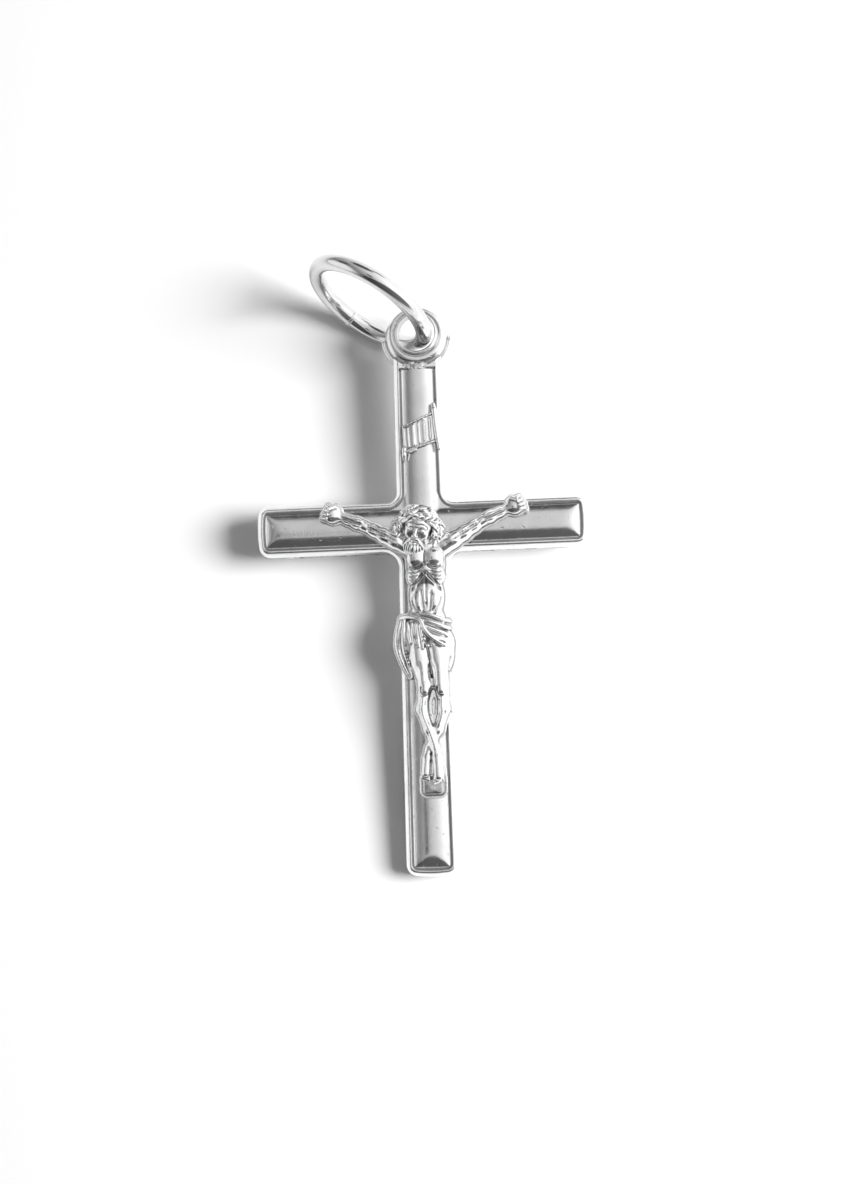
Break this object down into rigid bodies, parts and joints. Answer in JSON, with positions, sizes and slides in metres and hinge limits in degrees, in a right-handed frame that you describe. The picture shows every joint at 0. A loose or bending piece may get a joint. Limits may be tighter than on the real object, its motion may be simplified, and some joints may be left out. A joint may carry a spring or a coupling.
{
  "type": "crucifix pendant",
  "caption": "Small hollow silver cross pendant with a cast figure, a scroll, a hanging eye and a round wire jump ring.",
  "frame": {"origin": "where the centre lines of the two bars cross, on the cross's flat back", "axes": "+Z out of the front, +Y towards the hanging eye, +X to the viewer's right"},
  "size_m": [0.02, 0.0369, 0.0083],
  "materials": {
    "bright_silver": "polished",
    "cast_silver": "polished",
    "wire_silver": "polished",
    "solder": "satin"
  },
  "bodies": {
    "cross": {"front_shell": "bright_silver", "back_shell": "bright_silver", "seam_solder": "solder", "top_loop": "bright_silver", "neck_solder": "solder", "corpus": "cast_silver", "foot_rest": "cast_silver", "titulus_scroll": "cast_silver", "solder_pads": "solder"},
    "ring": {"jump_ring": "wire_silver", "ring_solder": "solder"}
  },
  "joints": [
    {"name": "ring_swing", "type": "hinge", "parent": "cross", "child": "ring", "pos_m": [0, 0.01167, 0.0008], "axis": [0, 0, 1], "range_deg": [-207, 90]}
  ]
}
